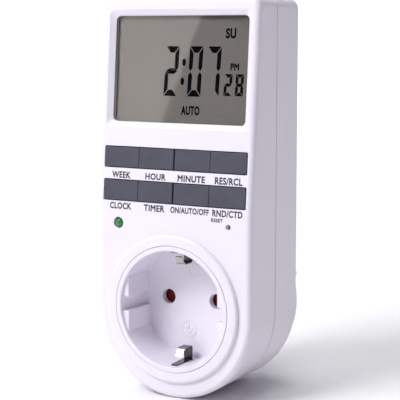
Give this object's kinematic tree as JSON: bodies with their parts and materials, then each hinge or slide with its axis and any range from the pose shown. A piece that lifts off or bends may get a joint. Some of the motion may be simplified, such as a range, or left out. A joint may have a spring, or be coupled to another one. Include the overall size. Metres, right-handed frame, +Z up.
{
  "type": "programmable timer",
  "caption": "Plug-in digital timer: white two-shell housing with LCD window, slate keys and a round earthed socket in front, two-pin plug behind.",
  "frame": {"origin": "centre of the plug's end face, midway between the two pins", "axes": "+Y into the wall along the pins, +Z up the housing, +X to the right seen from the front; the front faces -Y"},
  "size_m": [0.06, 0.0774, 0.1365],
  "materials": {
    "shell": "satin moulded",
    "key": "fine matt moulded",
    "shutter": "satin moulded",
    "window": "polished clear plastic",
    "lcd": "polariser film on glass",
    "reflector": "brushed foil on card",
    "rubber": "moulded",
    "inner_plastic": "moulded",
    "board_green": "solder mask",
    "board_tan": "bare laminate",
    "epoxy": "moulded epoxy",
    "steel": "zinc plated",
    "spring_strip": "rolled strip",
    "pin_nickel": "nickel plated brass",
    "brass": "rolled strip",
    "led": "tinted clear epoxy",
    "relay": "moulded",
    "film": "moulded case",
    "sleeve": "shrink sleeve",
    "disc": "dipped coating",
    "resistor": "lacquered",
    "cell": "shrink sleeve",
    "wire_blue": "extruded insulation",
    "wire_brown": "extruded insulation",
    "wire_black": "extruded insulation",
    "ribbon": "extruded insulation"
  },
  "bodies": {
    "case": {"front_housing": "shell", "rear_housing": "shell", "socket_insert": "shell", "shutter_spring": "steel", "contact_carrier": "inner_plastic", "socket_contact_live": "brass", "socket_contact_neutral": "brass", "earth_clip_upper": "spring_strip", "earth_clip_lower": "spring_strip", "earth_bridge": "spring_strip", "earth_post": "brass", "plug_earth_strap": "spring_strip", "plug_pin_live": "pin_nickel", "plug_pin_neutral": "pin_nickel", "pin_carrier": "inner_plastic", "display_window": "window", "lcd_glass": "lcd", "lcd_reflector": "reflector", "lcd_connector": "rubber", "lcd_frame": "inner_plastic", "keypad_membrane": "rubber", "indicator_led": "led", "led_lead_left": "steel", "led_lead_right": "steel", "reset_switch": "epoxy", "control_board": "board_green", "controller_chip": "epoxy", "clock_crystal": "steel", "power_board": "board_tan", "relay": "relay", "dropper_capacitor": "film", "smoothing_capacitor": "sleeve", "reserve_capacitor": "sleeve", "bridge_rectifier": "epoxy", "varistor": "disc", "dropper_resistor": "resistor", "backup_cell": "cell", "wire_neutral": "wire_blue", "wire_live_in": "wire_brown", "wire_live_switched": "wire_black", "ribbon_cable": "ribbon", "case_screw_1": "steel", "board_screw_1": "steel", "case_screw_2": "steel", "board_screw_2": "steel", "case_screw_3": "steel", "board_screw_3": "steel", "case_screw_4": "steel", "board_screw_4": "steel"},
    "key_day": {"key_day": "key"},
    "key_hour": {"key_hour": "key"},
    "key_minute": {"key_minute": "key"},
    "key_recall": {"key_recall": "key"},
    "key_clock": {"key_clock": "key"},
    "key_program": {"key_program": "key"},
    "key_mode": {"key_mode": "key"},
    "key_random": {"key_random": "key"},
    "reset_button": {"reset_button": "inner_plastic"},
    "shutter": {"shutter": "shutter"}
  },
  "joints": [
    {"name": "key_day_press", "type": "slide", "parent": "case", "child": "key_day", "axis": [0, 0.9966, -0.0819], "range_m": [0, 0.0008], "stiffness_N_per_m": 400},
    {"name": "key_hour_press", "type": "slide", "parent": "case", "child": "key_hour", "axis": [0, 0.9966, -0.0819], "range_m": [0, 0.0008], "stiffness_N_per_m": 400},
    {"name": "key_minute_press", "type": "slide", "parent": "case", "child": "key_minute", "axis": [0, 0.9966, -0.0819], "range_m": [0, 0.0008], "stiffness_N_per_m": 400},
    {"name": "key_recall_press", "type": "slide", "parent": "case", "child": "key_recall", "axis": [0, 0.9966, -0.0819], "range_m": [0, 0.0008], "stiffness_N_per_m": 400},
    {"name": "key_clock_press", "type": "slide", "parent": "case", "child": "key_clock", "axis": [0, 0.9966, -0.0819], "range_m": [0, 0.0008], "stiffness_N_per_m": 400},
    {"name": "key_program_press", "type": "slide", "parent": "case", "child": "key_program", "axis": [0, 0.9966, -0.0819], "range_m": [0, 0.0008], "stiffness_N_per_m": 400},
    {"name": "key_mode_press", "type": "slide", "parent": "case", "child": "key_mode", "axis": [0, 0.9966, -0.0819], "range_m": [0, 0.0008], "stiffness_N_per_m": 400},
    {"name": "key_random_press", "type": "slide", "parent": "case", "child": "key_random", "axis": [0, 0.9966, -0.0819], "range_m": [0, 0.0008], "stiffness_N_per_m": 400},
    {"name": "reset_press", "type": "slide", "parent": "case", "child": "reset_button", "axis": [0, 1, 0], "range_m": [0, 0.0004], "stiffness_N_per_m": 400},
    {"name": "shutter_slide", "type": "slide", "parent": "case", "child": "shutter", "axis": [0, 0, 1], "range_m": [0, 0.007], "stiffness_N_per_m": 50, "springref_m": -0.004, "deforming": ["shutter_spring"]}
  ]
}
